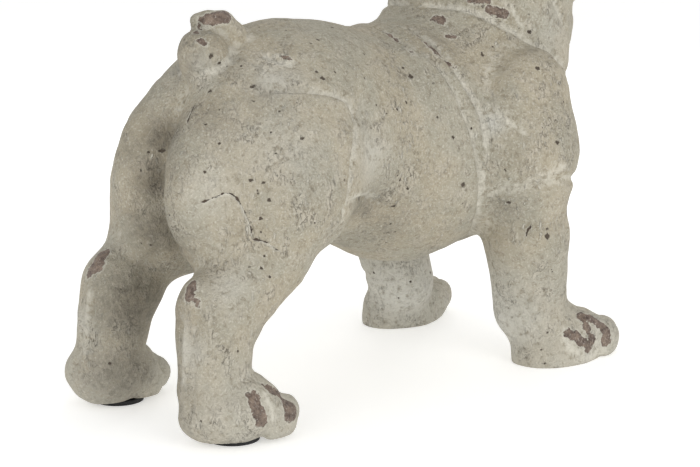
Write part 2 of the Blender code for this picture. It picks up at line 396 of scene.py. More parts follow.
def along_route(points, normals, places):
    """How far each point lies from a route over the skin, on which side, and at what share of its length.

    The side is positive on the right hand of someone who walks along the route, seen from outside the figure.
    Distances are in units. Points outside a box round the route count as out of reach.
    """
    lengths = np.linalg.norm(np.diff(places, axis=0), axis=1)
    before = np.concatenate(([0], np.cumsum(lengths)))
    margin = ROUTE_REACH * UNIT
    inside = (points > places.min(axis=0) - margin) & (points < places.max(axis=0) + margin)
    close = np.flatnonzero(inside.all(axis=1))
    nearest = np.full(len(close), OUT_OF_REACH * UNIT)
    side = np.zeros(len(close))
    share = np.zeros(len(close))
    for i, length in enumerate(lengths):
        run = (places[i + 1] - places[i]) / length
        offset = points[close] - places[i]
        walked = np.clip(offset @ run, 0, length)
        offset = offset - walked[:, None] * run
        distance = np.linalg.norm(offset, axis=1)
        closer = distance < nearest
        right = (np.cross(run, normals[close]) * offset).sum(axis=1)
        side = np.where(closer, np.sign(right), side)
        share = np.where(closer, (before[i] + walked) / before[-1], share)
        nearest = np.minimum(nearest, distance)
    table = np.tile((OUT_OF_REACH, 0.0, 0.0), (len(points), 1))
    table[close] = np.stack((nearest / UNIT, side, share), 1)
    return table.T


def ring(centre, radius, facing):
    """A closed route round a place on the left side: a circle that faces out and up by two angles in degrees.

    Each of its places is the centre, plus the radius times the turn's cosine across and its sine upwards.
    """
    out, up = math.radians(facing[0]), math.radians(facing[1])
    across = np.array((math.cos(out), math.sin(out), 0))
    forward = np.array((math.sin(out) * math.cos(up), -math.cos(out) * math.cos(up), math.sin(up)))
    rise = np.cross(across, forward) * -1
    turns = np.linspace(0, 2 * math.pi, 13)
    return [tuple(centre + radius * (math.cos(turn) * across + math.sin(turn) * rise)) for turn in turns]


def folds():
    """The folds of the skin: a route in units, depth, width, how high one side swells, and how far that goes.

    Routes lie on the dog's left side. The swollen side is on the right hand of the walk along the route, and
    on the left hand where its height is negative.
    """
    return [
        (NECK_RING, 3.0, 2.4, -2.4, 9),
        ([(48, -140, 169), (28, -162, 154), (0, -170, 149)], 2.4, 3.2, -1.2, 8),
        ([(46, -86, 212), (48, -95, 204), (51, -102, 194)], 1.2, 2.6, 0.8, 6),
        ([(53, -118, 216), (54, -129, 202), (51, -139, 192), (49, -146, 180)], 1.8, 3.0, -1.4, 8),
        ([(25, -22, 193), (42, -30, 184), (55, -37, 165), (60, -40, 151), (65, -43, 135), (66, -46, 121),
          (63, -51, 103), (53, -58, 88), (29, -78, 74)], 2.4, 2.2, -1.6, 7),
        ([(0, -40, 200), (15, -36, 198), (30, -38, 191), (47, -41, 178), (55, -45, 167), (58, -49, 159),
          (62, -52, 148), (65, -52, 140), (66, -51, 132), (66, -49, 118)], 2.2, 2.2, -1.6, 6),
        ([(4, -20, 198), (14, -21, 197), (27, -20, 193), (38, -22, 185)], 1.0, 2.2, -0.6, 5),
        ([(62, -53, 152), (66, -57, 152), (71, -61, 149), (77, -66, 143), (81, -69, 137)],
         1.8, 3.0, -1.4, 8),
        ([(60, -56, 104), (68, -61, 108), (78, -67, 111), (86, -78, 112), (91, -92, 113), (86, -106, 112),
          (74, -114, 110)], 2.2, 2.8, -2.0, 8),
        ([(40, 94, 174), (50, 77, 174), (56, 57, 171), (58, 48, 167), (61, 47, 155), (70, 55, 143),
          (73, 60, 129), (72, 64, 114), (62, 61, 99)], 3.0, 2.2, -2.6, 12),
        ([(73, 72, 114), (66, 55, 117), (55, 35, 114), (47, 15, 108), (49, 6, 105)], 2.4, 2.6, 1.6, 7),
        ([(0, 106, 172), (0, 120, 150), (0, 125, 132), (0, 124, 112), (0, 108, 84)], 4.0, 4.0, 0, 6),
        ([(27, 79, 194), (32, 77, 191), (38, 74, 189), (43, 70, 187)], 1.8, 2.4, 1.2, 6),
        ([(48, 141, 70), (45, 143, 57), (47, 145, 41), (48, 147, 25), (52, 148, 17)], 2.0, 2.8, 0.8, 7),
        ([(37, 143, 69), (36, 143, 51), (35, 144, 29), (34, 144, 16)], 1.8, 2.0, -0.8, 7),
        ([(8, 118, 92), (13, 119, 88), (19, 120, 82), (20, 124, 73), (19, 127, 64)], 1.6, 2.6, 0.9, 6),
        ([(5, 118, 95), (12, 124, 97), (24, 128, 95)], 1.2, 2.4, -0.8, 6),
        ([(78, -72, 99), (78, -81, 67), (74, -98, 30)], 1.0, 5.0, 0.8, 9),
        ([(50, -83, 38), (63, -86, 34), (76, -96, 36)], 1.0, 3.5, -0.7, 7),
        ([(6, 105, 204), (10, 101, 207), (13, 97, 207), (16, 93, 206), (18, 91, 202), (18, 91, 198),
          (17, 93, 193)], 1.6, 1.6, 0, 5),
        ([(2, 99, 211), (2, 101, 209), (3, 103, 206)], 1.8, 1.4, 0, 5),
        ([(4, 108, 180), (12, 105, 184), (15, 101, 185), (17, 95, 188), (17, 91, 189), (15, 85, 194)],
         2.4, 2.2, 0, 5),
        ([(0, -204, 247), (0, -203, 240), (0, -202, 231)], 2.6, 1.8, 0, 6),
        ([(0, -202, 230), (12, -203, 226), (23, -198, 217), (34, -186, 209), (42, -170, 210)],
         3.0, 2.2, 0.8, 5),
        ([(0, -168, 262), (0, -166, 280), (0, -148, 294), (0, -118, 300)], 2.6, 3.6, 0, 6),
        ([(9, -182, 272), (17, -180, 266), (30, -171, 254), (42, -160, 236), (46, -150, 216)],
         2.4, 2.2, 1.2, 6),
        ([(11, -196, 258), (16, -192, 252), (17, -190, 244)], 1.6, 1.8, 0.5, 4),
        ([(34, -160, 294), (43, -158, 280), (46, -156, 266), (52, -142, 250)], 1.8, 2.6, 1.0, 7),
        ([(42, -160, 258), (50, -146, 240), (53, -132, 218), (50, -124, 200)], 1.6, 2.8, 1.2, 8),
        ([(8, -158, 297), (20, -154, 296), (34, -146, 292)], 1.6, 2.4, 1.0, 6),
        ([(6, -140, 300), (20, -136, 300), (34, -128, 295)], 1.0, 2.8, 0.7, 6),
        ([(10, -170, 176), (16, -166, 190), (20, -170, 204)], 1.8, 3.0, 1.0, 7),
        ([(0, -174, 164), (18, -170, 160), (36, -158, 160)], 1.4, 3.4, 0.9, 8),
        (ring((27, -174, 267), 7.6, (30, 12)), 1.8, 1.3, 0, 4),
        (ring((27, -172, 267), 11.5, (30, 12)), 1.0, 1.8, 0, 4),
    ]


def toe_grooves():
    """The grooves between the toes, over the top of each paw and down its front."""
    grooves = []
    for (x, y), reach in ((HIND_PAW, 24), (FORE_PAW, 31)):
        for place in (-1, 0, 1):
            middle = x + TOE_STEP * place
            front = y - reach + 5 * place * place - 1.5 * place
            over = [(middle * 0.96, front + 19, 29), (middle, front + 4, 22)]
            down = [(middle, front - 7, 12), (middle, front - 8, 2)]
            grooves.append((over + down, 2.0, 2.4, 0, 5))
    return grooves


def dabs():
    """Soft swellings and hollows: a place on the left side in units, how far it reaches, and its height.

    They give the muscles of rump, thigh and shoulder, and the hand-worked hollows between them.
    """
    return [
        ((38, 75, 188), 11, -1.6),
        ((26, 72, 198), 9, -1.6),
        ((60, 34, 156), 18, -1.8),
        ((72, -57, 132), 10, -2.0),
        ((60, 34, 104), 13, -2.2),
        ((72, -66, 98), 12, -1.2),
        ((70, 92, 133), 20, 1.4),
        ((40, 112, 156), 14, 0.8),
        ((50, 112, 98), 12, -1.0),
        ((39, 137, 79), 8, 1.6),
        ((62, -98, 163), 18, 1.4),
        ((78, -84, 128), 16, 1.0),
        ((30, 8, 198), 16, 0.8),
        ((46, -10, 178), 14, -0.8),
        ((7, -202, 252), 3.0, -4.0),
        ((12, -186, 206), 8, 0.8),
        ((27, -168, 278), 5, 0.8),
        ((27, -178, 258), 4, 0.8),
        ((53, -115, 281), 6, -2.6),
    ]


def carve(mesh, masses):
    """Works the folds, toe grooves and swellings into the skin, and then the unevenness of a hand-laid coat.

    A groove's depth is a bell curve over the distance from its route. On one side of it a bank rises as the
    bell falls, and dies away over its reach. Both grow shallow at the route's ends.
    """
    points = points_of(mesh)
    normals = normals_of(mesh)
    groove = np.zeros(len(points))
    raised = np.zeros(len(points))
    for route, deep, wide, swell, reach in folds() + toe_grooves():
        for hand in SIDES:
            distance, side, share = along_route(points, normals, on_skin(route, hand, masses))
            ends = np.clip(np.minimum(share, 1 - share) / 0.15, 0, 1)
            groove = np.maximum(groove, deep * np.exp(-((distance / wide) ** 2)) * (0.3 + 0.7 * ends))
            swollen = side * hand * np.sign(swell) > 0
            bank = (1 - np.exp(-((distance / wide) ** 2))) * np.exp(-distance / reach) * ends
            raised += np.where(swollen, abs(swell) * bank, 0)
    for place, reach, height in dabs():
        for hand in SIDES:
            distance = np.linalg.norm(points / UNIT - np.array(place) * (hand, 1, 1), axis=1)
            raised += height * np.exp(-((distance / reach) ** 2))
    coat = sum(height * lumps(points, width, seed) for seed, (height, width) in enumerate(COAT_LUMPS, 1))
    put_points(mesh, points + normals * ((raised - groove + coat) * UNIT)[:, None])


def bare_patches():
    """Where the coat has worn off the resin: a route in units, half its width at both ends, and its side."""
    return [
        ([(38, 137, 81), (41, 141, 77)], 3.4, 3.2, -1),
        ([(45, 140, 75), (46, 141, 73)], 1.4, 1.2, -1),
        ([(42, 132, 84), (38, 139, 79)], 4.0, 3.6, 1),
        ([(38, 138, 79), (43, 141, 75)], 3.4, 2.8, 1),
        ([(69, 125, 27), (73, 125, 22), (74, 122, 15)], 3.4, 4.0, -1),
        ([(65, 111, 28), (64, 101, 21), (72, 102, 15)], 4.2, 6.0, -1),
        ([(81, -109, 19), (83, -113, 16), (85, -119, 13)], 3.4, 3.4, -1),
        ([(84, -128, 13), (86, -121, 8)], 2.8, 2.2, -1),
        ([(80, -123, 23), (83, -124, 18)], 2.0, 2.4, -1),
        ([(80, -122, 29), (84, -130, 24), (87, -138, 16), (87, -137, 10)], 2.8, 3.4, -1),
        ([(5, 97, 208), (8, 94, 210), (9, 89, 211)], 3.0, 4.8, -1),
        ([(2, 100, 209), (2, 102, 207), (6, 106, 204)], 1.6, 1.2, -1),
        ([(12, 108, 199), (14, 106, 198)], 1.6, 1.2, -1),
        ([(33, 74, 192), (37, 72, 191), (40, 69, 189)], 0.3, 0.5, -1),
        ([(20, -58, 202), (23, -60, 201), (25, -59, 199)], 2.6, 2.0, -1),
        ([(34, -54, 193), (36, -57, 192)], 2.0, 1.6, -1),
        ([(4, -36, 200), (14, -36, 198), (25, -35, 194), (32, -36, 191)], 0.6, 1.4, -1),
        ([(35, -36, 189), (40, -36, 185), (44, -38, 182), (48, -43, 177)], 1.7, 0.8, -1),
        ([(16, -21, 197), (26, -21, 193)], 0.9, 1.2, -1),
        ([(32, -20, 189), (38, -22, 185)], 0.9, 1.1, -1),
        ([(31, -76, 211), (39, -81, 211)], 2.2, 1.6, -1),
        ([(39, -82, 206), (42, -85, 204), (46, -88, 204)], 2.2, 2.8, -1),
        ([(66, -150, 16), (68, -154, 10)], 4.0, 3.0, -1),
        ([(53, -146, 18), (53, -152, 10)], 2.4, 3.0, 1),
        ([(72, -146, 20), (74, -152, 12)], 3.0, 2.4, 1),
        ([(70, 112, 20), (73, 107, 13)], 3.2, 3.8, 1),
        ([(64, -104, 300), (56, -98, 288)], 2.0, 1.6, 1),
        ([(8, -198, 264), (0, -200, 265), (-8, -198, 264)], 2.4, 2.4, 1),
        ([(30, -158, 296), (24, -162, 293)], 2.4, 1.4, -1),
        ([(74, -84, 160), (80, -82, 154)], 1.4, 1.0, 1),
        ([(20, 40, 200), (26, 36, 200)], 1.2, 1.0, 1),
    ]


def washed_lines():
    """Where the pale wash has stayed on both sides: a route in units, its spread, and its strength."""
    return [
        ([(8, 108, 181), (12, 105, 184), (15, 101, 185), (17, 95, 188), (17, 91, 189), (15, 85, 194)],
         3.6, 1.0),
        (NECK_RING, 2.4, 1.0),
        ([(42, -30, 184), (55, -37, 165), (60, -40, 151), (65, -43, 135), (66, -46, 121)], 2.0, 0.8),
        ([(65, -44, 128), (66, -49, 118), (63, -51, 103), (53, -58, 88), (29, -78, 74)], 2.6, 1.0),
        ([(15, -38, 198), (30, -40, 191), (47, -43, 178)], 2.4, 0.6),
        ([(47, -41, 178), (55, -45, 167), (58, -49, 159), (62, -52, 148), (65, -52, 140), (66, -51, 130)],
         2.2, 1.0),
        ([(47, -92, 211), (48, -93, 205), (50, -96, 198), (52, -99, 194)], 1.6, 0.7),
        ([(62, -54, 152), (66, -58, 151), (71, -62, 148), (77, -67, 142)], 3.4, 0.8),
        ([(60, -57, 106), (68, -62, 110), (78, -68, 113), (86, -78, 115), (91, -93, 126)], 5.0, 0.62),
        ([(50, 77, 174), (56, 57, 171), (57, 47, 167), (61, 46, 155), (69, 54, 143), (72, 59, 129),
          (71, 63, 114), (62, 60, 99)], 2.6, 1.1),
        ([(27, 80, 193), (32, 79, 190), (38, 75, 188), (42, 69, 187)], 2.8, 1.0),
        ([(36, 88, 184), (42, 85, 180), (46, 79, 180)], 7.0, 0.5),
        ([(73, 70, 116), (66, 54, 119), (55, 34, 116), (47, 15, 110)], 2.8, 0.9),
        ([(66, 117, 27), (72, 117, 21), (73, 113, 12)], 2.2, 1.0),
        ([(76, -106, 26), (82, -106, 14), (86, -114, 4), (88, -128, 3), (84, -142, 5)], 3.4, 0.8),
        ([(39, 141, 68), (41, 144, 50), (41, 147, 30)], 3.4, 0.6),
        ([(53, -118, 216), (54, -129, 202), (51, -139, 192)], 2.6, 0.7),
        ([(9, -184, 271), (17, -182, 266), (30, -173, 254), (42, -162, 237), (46, -152, 217)], 2.0, 0.8),
        ([(0, -203, 232), (12, -204, 228), (23, -199, 219), (34, -187, 211)], 2.0, 0.7),
        ([(42, -162, 259), (50, -148, 241), (53, -134, 219)], 2.2, 0.6),
    ]


def grime_and_shade_places():
    """Where soiling and painted shade in hollows darken the coat on both sides: a place in units, its reach
    and strength.
    """
    return [
        ((20, 126, 60), 28, 1.0),
        ((28, 134, 20), 26, 0.8),
        ((8, 122, 100), 22, 0.9),
        ((4, 122, 150), 14, 1.0),
        ((4, 126, 128), 15, 1.0),
        ((16, 126, 140), 18, 0.6),
        ((70, -62, 94), 12, 0.5),
        ((54, 28, 102), 18, 0.8),
        ((44, 0, 92), 24, 0.4),
        ((40, 92, 172), 20, 0.4),
        ((30, 114, 160), 20, 0.5),
        ((-4, 99, 190), 17, 0.9),
        ((36, -40, 188), 18, 0.5),
        ((7, -203, 252), 4.5, 1.2),
        ((20, -198, 222), 7, 0.5),
        ((34, -172, 266), 6, 0.6),
        ((20, -172, 270), 6, 0.6),
        ((52, -114, 282), 7, 0.8),
        ((0, -150, 120), 40, 0.3),
        ((40, -86, 186), 7, 0.5),
    ]


def paler_and_lit_places():
    """Where the coat is paler all over on both sides, as pale wash and as painted light on the shaded lower
    legs: a place in units, its reach and strength.
    """
    return [
        ((38, -95, 26), 34, 1.0),
        ((72, -126, 4), 26, 0.6),
        ((54, -76, 40), 22, 0.5),
        ((46, 146, 50), 10, 0.5),
        ((54, 128, 82), 12, 0.4),
        ((14, 108, 184), 9, 0.5),
        ((66, 34, 138), 16, 0.5),
        ((65, -56, 146), 7, 0.9),
        ((42, 126, 128), 15, 0.3),
        ((62, 100, 150), 22, 0.3),
        ((44, 84, 182), 14, 0.5),
        ((60, -124, 190), 20, 0.3),
    ]


def scars():
    """Thin open cracks in the coat of the right thigh and rump, as routes in units."""
    return [
        [(38, 128, 122), (42, 123, 125), (46, 119, 127), (51, 117, 124), (54, 116, 118), (57, 115, 112),
         (58, 115, 107)],
        [(60, 114, 104), (64, 110, 103), (67, 106, 99)],
        [(15, 115, 166), (16, 118, 163), (17, 121, 160)],
        [(11, 122, 155), (11, 124, 151)],
        [(68, -86, 88), (69, -84, 82)],
    ]


def pits():
    """Air holes of the right side, each by its mirrored place on the left in units, and half its width."""
    return [
        ((37, 94, 176), 1.7), ((54, 91, 165), 1.2), ((48, 60, 181), 1.6), ((49, 59, 178), 2.0),
        ((42, 98, 169), 1.3), ((29, 120, 159), 1.4), ((64, 86, 152), 1.4), ((60, 100, 145), 1.0),
        ((32, 46, 197), 1.2), ((49, 49, 182), 1.0), ((40, 18, 188), 1.0), ((30, -6, 190), 1.2),
        ((43, -10, 179), 1.5), ((47, -12, 174), 1.8), ((51, 30, 177), 1.2), ((54, 0, 162), 1.3),
        ((58, -19, 153), 1.4), ((53, -19, 165), 1.2), ((73, -84, 175), 1.5), ((48, -68, 183), 1.6),
        ((48, -76, 187), 1.4), ((44, -54, 185), 1.2), ((89, -83, 136), 1.6), ((82, -85, 84), 1.6),
        ((83, -86, 80), 2.0), ((82, -98, 156), 1.3), ((53, -102, 202), 1.2), ((52, -102, 193), 1.4),
        ((75, -94, 4), 1.6), ((74, -57, 121), 1.2), ((71, -65, 101), 1.6), ((63, -27, 141), 1.2),
        ((57, 25, 163), 1.0), ((56, 9, 159), 1.0), ((41, -4, 89), 1.2), ((53, 31, 112), 1.8),
        ((49, 6, 105), 1.3), ((58, 116, 90), 1.2), ((62, 112, 89), 1.3), ((64, 108, 86), 1.2),
        ((55, 112, 133), 1.6), ((61, 108, 132), 1.4), ((59, 111, 128), 1.5), ((64, 108, 124), 1.4),
        ((17, 99, 187), 1.4), ((20, 106, 191), 1.8), ((-34, -97, 33), 1.3), ((-10, 130, 132), 1.2),
        ((-8, 126, 141), 1.4), ((-3, 120, 143), 1.8), ((57, 8, 120), 1.3), ((20, 112, 178), 1.8),
        ((6, 104, 210), 1.2),
    ]


def soft_spots(points, spots):
    """How strongly soft spots cover the points, each with a bell curve over the distance from its place."""
    cover = np.zeros(len(points))
    for place, reach, strong in spots:
        for hand in SIDES:
            distance = np.linalg.norm(points / UNIT - np.array(place) * (hand, 1, 1), axis=1)
            cover = np.maximum(cover, strong * np.exp(-((distance / reach) ** 2)))
    return cover


def worn_depth(points, normals, masses):
    """How deep the points lie inside a bare patch, in units: below nought outside them, and -8 at least."""
    depth = np.full(len(points), -8.0)
    for route, start_wide, end_wide, hand in bare_patches():
        distance, _, share = along_route(points, normals, on_skin(route, hand, masses))
        depth = np.maximum(depth, start_wide + share * (end_wide - start_wide) - distance)
    return depth


def wash_left(points, normals, masses):
    """How much pale wash lies along the washed lines: a bell curve across each, fading out at its ends."""
    wash = np.zeros(len(points))
    for route, wide, strong in washed_lines():
        for hand in SIDES:
            distance, _, share = along_route(points, normals, on_skin(route, hand, masses))
            ends = np.clip(np.minimum(share, 1 - share) / 0.1, 0, 1)
            wash = np.maximum(wash, strong * ends * np.exp(-((distance / wide) ** 2)))
    return wash


def hollowness(carved, normals, edges):
    """How far each point of the carved skin lies below its neighbours' mean, in units, smoothed twice."""
    hollow = ((neighbour_mean(carved, edges) - carved) * normals).sum(axis=1) / UNIT
    for _ in range(2):
        hollow = neighbour_mean(hollow, edges)
    return hollow


def crack_sides(points, normals, masses):
    """The distance to the nearest crack with the sign of its side, and without it, in units and 8 at most."""
    signed = np.full(len(points), 8.0)
    near = np.full(len(points), 8.0)
    for route in scars():
        distance, side, _ = along_route(points, normals, on_skin(route, -1, masses))
        signed = np.where(distance < near, distance * side, signed)
        near = np.minimum(near, distance)
    return signed, near


def pit_depth(points):
    """How deep the points lie inside an air hole, in units and -4 at least. A hole sits on a skin point."""
    depth = np.full(len(points), -4.0)
    for place, wide in pits():
        right = np.array(place) * (-1, 1, 1)
        centre = points[np.argmin(np.linalg.norm(points / UNIT - right, axis=1))]
        depth = np.maximum(depth, wide - np.linalg.norm(points - centre, axis=1) / UNIT)
    return depth


def paint(mesh, points, masses):
    """Stores on the skin where it is bare, washed, soiled and darkened by painted shade, paler and lifted by
    painted light, cracked and pitted, for the material to read.

    The points are the skin's before it was carved, so that a line keeps its width down a deep fold. Depths
    and distances are stored, so that the material can fray an edge more finely than the points stand.
    """
    carved = points_of(mesh)
    normals = normals_of(mesh)
    # Soiling and painted shade in creases, hollows, between the legs and under the chest.
    grime_and_shade = soft_spots(points, grime_and_shade_places())
    hollow = hollowness(carved, normals, edges_of(mesh))
    crack, near = crack_sides(points, normals, masses)
    values = {
        "bare": worn_depth(points, normals, masses),
        "wash": np.maximum(wash_left(points, normals, masses), np.clip(hollow * 5, 0, 0.6) * (1 - grime_and_shade)),
        "grime_and_shade": grime_and_shade,
        "paler_and_lit": soft_spots(points, paler_and_lit_places()),
        "crack": crack,
        "crack_nearness": 8 - near,
        "pits": pit_depth(points),
        "height": carved[:, 2] / UNIT,
    }
    for name, column in values.items():
        layer = mesh.attributes.new(name, "FLOAT", "POINT")
        layer.data.foreach_set("value", column.astype(np.float32))


def stand_on_soles(mesh):
    """Brings the skin to the solid's height and place, and presses its soles flat where the solid's are."""
    points = points_of(mesh)
    points *= FIGURE_HEIGHT / points[:, 2].max()
    middle = (points[:, 1].min() + points[:, 1].max()) / 2
    points[:, 1] += (FIGURE_LOW.y + FIGURE_HIGH.y) / 2 - middle
    pad_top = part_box("foot_pad_left")[1].z
    sole = np.where(points[:, 1] > 0, pad_top + GLUE_GAP * UNIT, 0)
    points[:, 2] = np.maximum(points[:, 2], sole)
    put_points(mesh, points)


def linear(hex_colour):
    """An sRGB hex colour as the linear red, green, blue and alpha that a shader wants."""
    parts = [int(hex_colour[i : i + 2], 16) / 255 for i in (1, 3, 5)]
    return [part / 12.92 if part <= 0.04045 else ((part + 0.055) / 1.055) ** 2.4 for part in parts] + [1]


def add(tree, kind, inputs=None, output=0, **settings):
    """A new shader node with its settings, and its inputs linked or set. Back comes one of its outputs."""
    node = tree.nodes.new("ShaderNode" + kind)
    for name, value in settings.items():
        setattr(node, name, value)
    for name, value in (inputs or {}).items():
        if isinstance(value, bpy.types.NodeSocket):
            tree.links.new(value, node.inputs[name])
        else:
            node.inputs[name].default_value = value
    return node.outputs[output]


def new_material(name, roughness, specular_ior):
    """A material with a principled shader of the given roughness and index of refraction, not yet coloured."""
    material = bpy.data.materials.new(name)
    material.use_nodes = True
    shader = material.node_tree.nodes["Principled BSDF"]
    shader.inputs["Roughness"].default_value = roughness
    shader.inputs["IOR"].default_value = specular_ior
    return material, material.node_tree, shader


def layered(tree, colour, layers):
    """A colour with others laid over it one by one, each as strongly as its cover says."""
    for cover, tint in layers:
        sockets = {0: cover, 6: colour, 7: linear(tint)}
        colour = add(tree, "Mix", sockets, output=2, data_type="RGBA")
    return colour


def unevenness(tree, place):
    """Noise at the four scales of a hand-laid coat, each a number of lumps per metre.

    The zones are about 38 mm wide, the clouds 12 mm, the mottles 4 mm and the grains 1.2 mm.
    """
    zones = add(tree, "TexNoise", {"Vector": place, "Scale": 26, "Detail": 3, "Roughness": 0.6})
    clouds = {"Vector": place, "Scale": 85, "Detail": 4, "Roughness": 0.6, "Distortion": 0.8}
    cloudy = add(tree, "TexNoise", clouds)
    mottled = add(tree, "TexNoise", {"Vector": place, "Scale": 260, "Detail": 4, "Roughness": 0.7})
    grainy = add(tree, "TexNoise", {"Vector": place, "Scale": 850, "Detail": 3, "Roughness": 0.65})
    return zones, cloudy, mottled, grainy


def scattered(tree, place, scale, share, size, soft):
    """Spots in a share of a cell pattern's cells, each up to the given size as a part of its cell.

    A cell's own random colour decides on its spot. The two soft values are where its edge starts and ends.
    """
    cells = add(tree, "TexVoronoi", {"Vector": place, "Scale": scale})
    lot = add(tree, "SeparateColor", {"Color": cells.node.outputs["Color"]})
    reach = add(tree, "MapRange", {"Value": lot, "From Min": 1 - share, "From Max": 1, "To Max": size})
    inside = add(tree, "Math", {0: reach, 1: cells}, operation="SUBTRACT")
    return add(tree, "MapRange", {"Value": inside, "From Min": soft[0], "From Max": soft[1]})


def brush_strokes(tree, bent):
    """Short raised strokes of a stiff brush, 3 mm by 10 mm, clustered and drawn out in three directions."""
    strokes = 0
    for turn, scale, share, size in (
        ((0.7, 0.4, 0.3), 330, 0.6, 0.30),
        ((-0.3, 0.2, 1.9), 300, 0.5, 0.28),
        ((1.4, 0.3, 0.5), 380, 0.6, 0.30),
    ):
        brushed = add(tree, "Mapping", {"Vector": bent, "Rotation": turn, "Scale": (1, 1, 0.3)})
        dash = scattered(tree, brushed, scale, share, size, (-0.02, 0.12))
        here = add(tree, "TexNoise", {"Vector": brushed, "Scale": scale * 0.15, "Detail": 2})
        here = add(tree, "MapRange", {"Value": here, "From Min": 0.42, "From Max": 0.6})
        dash = add(tree, "Math", {0: dash, 1: here}, operation="MULTIPLY")
        strokes = add(tree, "Math", {0: strokes, 1: dash}, operation="MAXIMUM")
    return strokes


def fine_scratches(tree, bent, cloudy):
    """Thin scratches, where a drawn-out noise of 2.4 mm passes its middle value, in the paler clouds only."""
    slanted = add(tree, "Mapping", {"Vector": bent, "Rotation": (0.7, 0.4, 0.3), "Scale": (1, 1, 0.3)})
    wavy = add(tree, "TexNoise", {"Vector": slanted, "Scale": 420, "Detail": 1.5, "Distortion": 0.9})
    off = add(tree, "Math", {0: wavy, 1: 0.5}, operation="SUBTRACT")
    off = add(tree, "Math", {0: off}, operation="ABSOLUTE")
    scratches = add(tree, "MapRange", {"Value": off, "From Min": 0.03, "From Max": 0.005})
    here = add(tree, "MapRange", {"Value": cloudy, "From Min": 0.5, "From Max": 0.62})
    return add(tree, "Math", {0: scratches, 1: here}, operation="MULTIPLY")


def air_holes(tree, bent, mottled):
    """Round air holes in cells of 16 mm and 6 mm, and the larger pits that have places of their own."""
    pitted = add(tree, "Attribute", output=2, attribute_name="pits")
    large = scattered(tree, bent, 62, 0.35, 0.1, (-0.01, 0.03))
    small = scattered(tree, bent, 165, 0.25, 0.14, (-0.01, 0.03))
    ragged = {"Value": mottled, "From Min": 0.3, "From Max": 0.7, "To Min": -1.5, "To Max": 0.7}
    pricked = add(tree, "Math", {0: pitted, 1: add(tree, "MapRange", ragged)}, operation="ADD")
    pricked = add(tree, "MapRange", {"Value": pricked, "From Min": 0, "From Max": 0.5})
    holes = add(tree, "Math", {0: large, 1: small}, operation="MAXIMUM")
    return add(tree, "Math", {0: holes, 1: pricked}, operation="MAXIMUM")


def open_cracks(tree, mottled):
    """Cracks that widen and close along their way, and the raised rim of lifted coat on one side of them."""
    side = add(tree, "Attribute", output=2, attribute_name="crack")
    nearness = add(tree, "Attribute", output=2, attribute_name="crack_nearness")
    wide = {"Value": mottled, "From Min": 0.35, "From Max": 0.65, "To Min": 0.9, "To Max": -0.5}
    aside = add(tree, "Math", {0: side}, operation="ABSOLUTE")
    inside = add(tree, "Math", {0: add(tree, "MapRange", wide), 1: aside}, operation="SUBTRACT")
    crack = add(tree, "MapRange", {"Value": inside, "From Min": -0.15, "From Max": 0.25})
    hand = add(tree, "Math", {0: side}, operation="SIGN")
    rim = add(tree, "MapRange", {"Value": side, "From Min": 1.8, "From Max": 0.2})
    rim = add(tree, "Math", {0: rim, 1: hand}, operation="MULTIPLY")
    close = add(tree, "MapRange", {"Value": nearness, "From Min": 5.5, "From Max": 6.5})
    crack = add(tree, "Math", {0: crack, 1: close}, operation="MULTIPLY")
    rim = add(tree, "Math", {0: rim, 1: close}, operation="MULTIPLY", use_clamp=True)
    return crack, rim


def worn_through(tree, place):
    """How deep a place lies inside a bare patch, with an edge that is frayed by noise of 4 mm and finer."""
    depth = add(tree, "Attribute", output=2, attribute_name="bare")
    noise = add(tree, "TexNoise", {"Vector": place, "Scale": 230, "Detail": 5, "Roughness": 0.65})
    fray = {"Value": noise, "From Min": 0.3, "From Max": 0.7, "To Min": -1.6, "To Max": 1.6}
    return add(tree, "Math", {0: depth, 1: add(tree, "MapRange", fray)}, operation="ADD")


def brown_resin(tree, mottled, grainy):
    """The resin under the coat: unevenly stained brown, with pale specks of cement left in its pores."""
    stain = add(tree, "MapRange", {"Value": mottled, "From Min": 0.35, "From Max": 0.65})
    speck = add(tree, "MapRange", {"Value": grainy, "From Min": 0.56, "From Max": 0.68, "To Max": 0.75})
    return layered(tree, linear("#51423a"), [(stain, "#8c7b6c"), (speck, "#b0a69d")])


